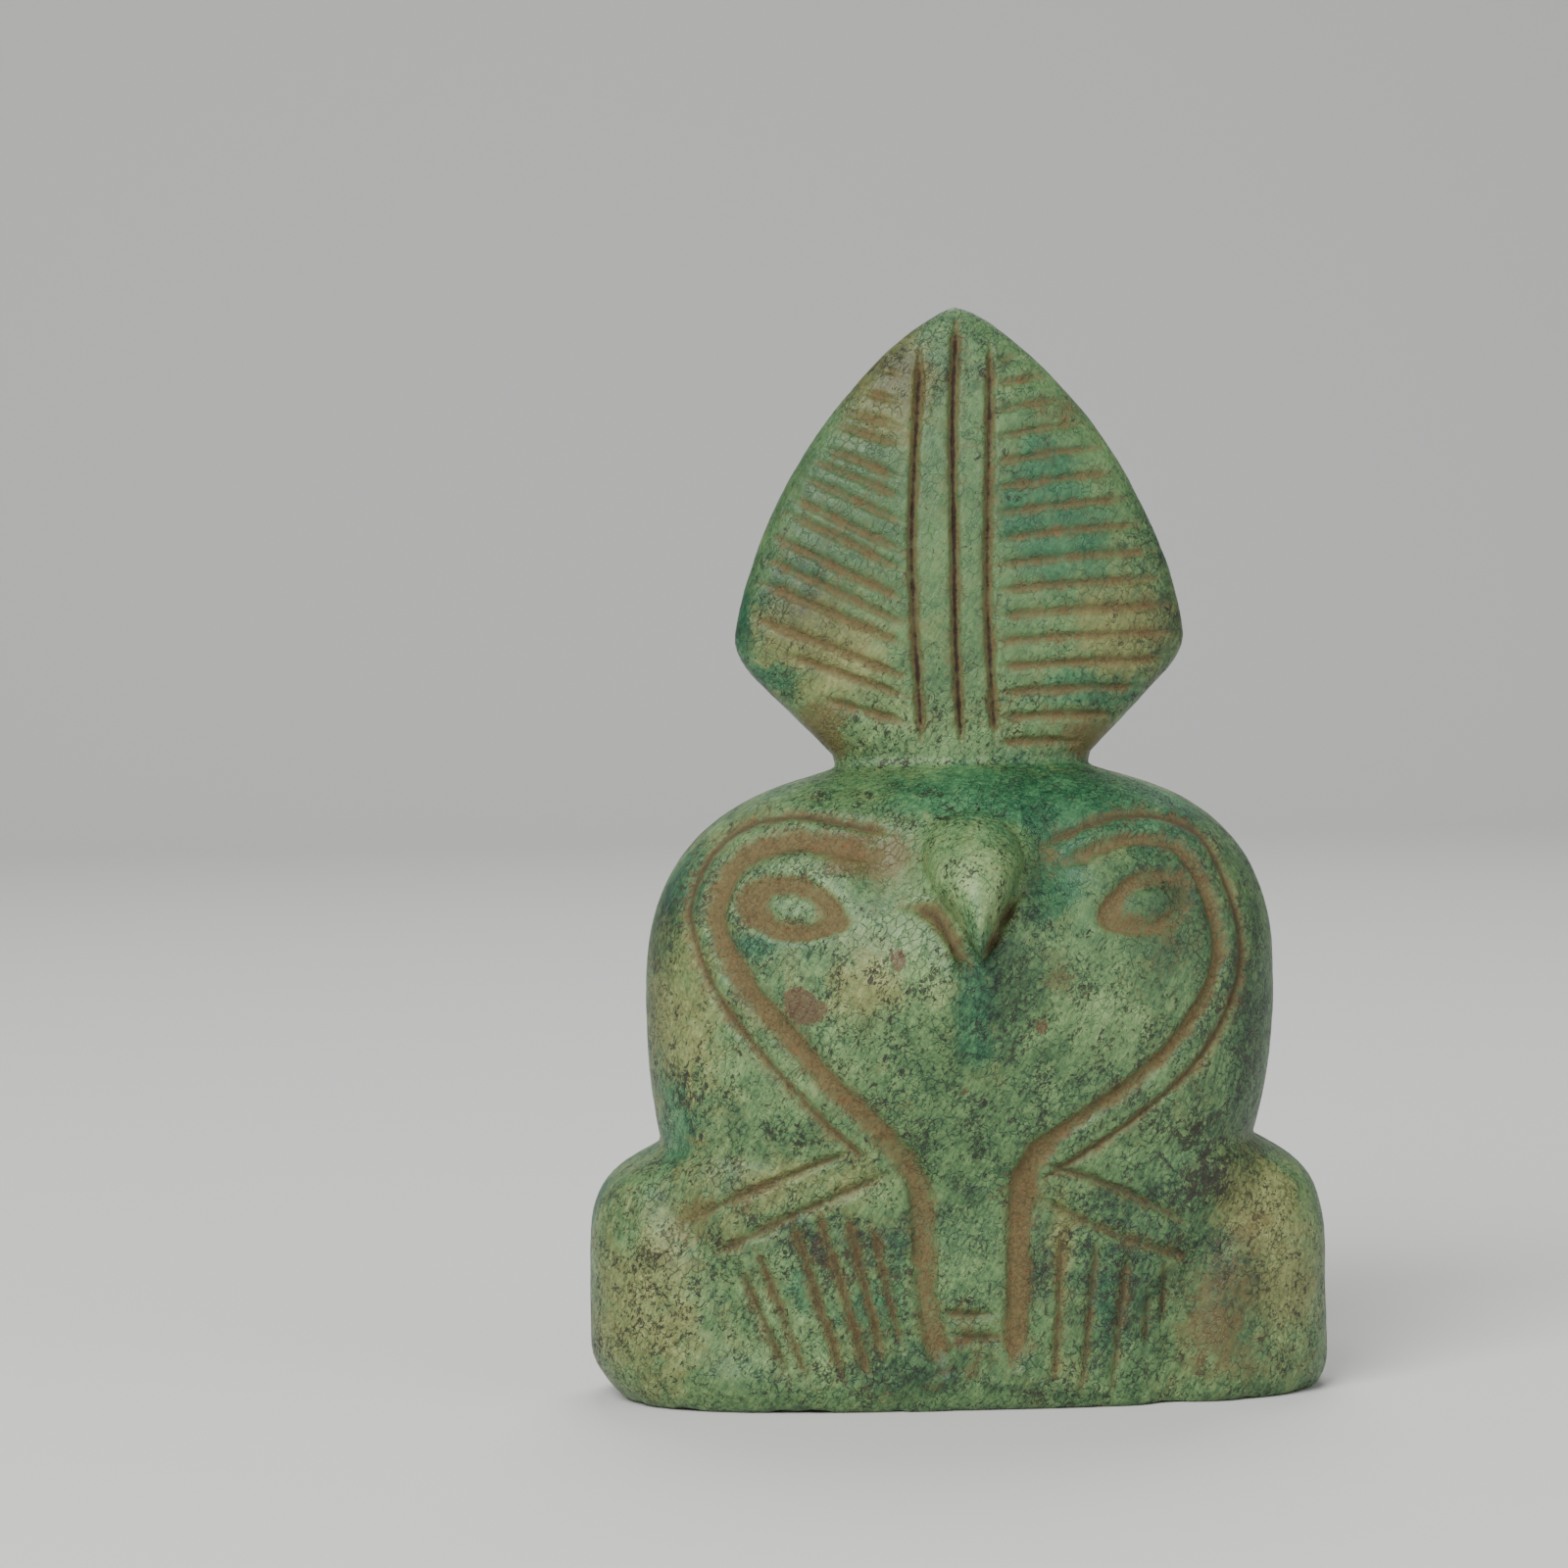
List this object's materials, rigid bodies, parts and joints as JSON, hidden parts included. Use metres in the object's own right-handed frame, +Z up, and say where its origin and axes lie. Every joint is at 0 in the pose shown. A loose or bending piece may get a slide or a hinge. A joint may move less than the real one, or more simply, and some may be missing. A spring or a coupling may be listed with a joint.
{
  "type": "carved stone falcon bust",
  "caption": "Hand-sized green stone bust of a falcon-headed god under a crown of tall feathers, standing on its flat underside.",
  "frame": {"origin": "centre of the flat underside, on the surface the bust stands on", "axes": "+Z up, the face looks along -Y, and +X is to the right of someone who looks at the face"},
  "size_m": [0.0886, 0.0512, 0.1299],
  "materials": {
    "green_stone": "mottled green stone, rubbed to a waxy half gloss, with matt brown earth left in the cuts"
  },
  "bodies": {
    "root": {"falcon_bust": "green_stone"}
  },
  "joints": []
}
